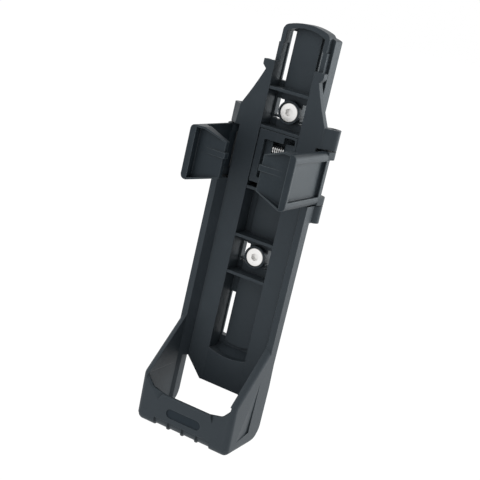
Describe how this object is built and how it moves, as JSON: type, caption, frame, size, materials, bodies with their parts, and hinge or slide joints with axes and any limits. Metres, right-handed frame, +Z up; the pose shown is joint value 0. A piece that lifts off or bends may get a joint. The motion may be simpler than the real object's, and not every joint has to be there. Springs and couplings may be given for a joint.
{
  "type": "bike lock bracket",
  "caption": "Upright cradle for a folded bicycle lock: a channel floor with strap slits, an open shoe at its foot and a pair of sprung, hinged clamp arms.",
  "frame": {"origin": "midway between the two mounting screws, on the flat of the back that lies against the bicycle tube", "axes": "+Z up along the bicycle tube, +Y back into the tube, -Y out towards the rider, +X to the right as seen from the front"},
  "size_m": [0.0498, 0.0508, 0.1773],
  "materials": {
    "charcoal_plastic": "satin",
    "arm_plastic": "satin",
    "pusher_plastic": "satin",
    "screw_steel": "brushed",
    "pin_steel": "ground",
    "spring_steel": "drawn"
  },
  "bodies": {
    "cradle": {"cradle": "charcoal_plastic", "spring_cover": "charcoal_plastic", "hinge_pin_upper_right": "pin_steel", "hinge_pin_lower_right": "pin_steel", "hinge_pin_upper_left": "pin_steel", "hinge_pin_lower_left": "pin_steel", "closing_spring_upper": "spring_steel", "closing_spring_lower": "spring_steel", "mounting_screw_upper": "screw_steel", "mounting_screw_lower": "screw_steel"},
    "arm_right": {"clamp_arm_right": "arm_plastic"},
    "arm_left": {"clamp_arm_left": "arm_plastic"},
    "pusher_right": {"spring_pusher_right": "pusher_plastic"},
    "pusher_left": {"spring_pusher_left": "pusher_plastic"}
  },
  "joints": [
    {"name": "arm_right_hinge", "type": "hinge", "parent": "cradle", "child": "arm_right", "pos_m": [0.0218, -0.0066, 0.01055], "axis": [0, 0, 1], "range_deg": [0, 22], "stiffness_Nm_per_rad": 0.15, "springref_deg": -17.19},
    {"name": "arm_left_hinge", "type": "hinge", "parent": "cradle", "child": "arm_left", "pos_m": [-0.0218, -0.0066, 0.01055], "axis": [0, 0, -1], "range_deg": [0, 22], "stiffness_Nm_per_rad": 0.15, "springref_deg": -17.19},
    {"name": "pusher_right_slide", "type": "slide", "parent": "cradle", "child": "pusher_right", "axis": [-1, 0, 0], "range_m": [0, 0.0012], "deforming": ["closing_spring_upper", "closing_spring_lower"]},
    {"name": "pusher_left_slide", "type": "slide", "parent": "cradle", "child": "pusher_left", "axis": [1, 0, 0], "range_m": [0, 0.0012], "deforming": ["closing_spring_upper", "closing_spring_lower"]}
  ],
  "couplings": [
    {"joint": "pusher_right_slide", "follows": "arm_right_hinge", "m_per_rad": 0.0028936},
    {"joint": "pusher_left_slide", "follows": "arm_left_hinge", "m_per_rad": 0.0028936}
  ]
}
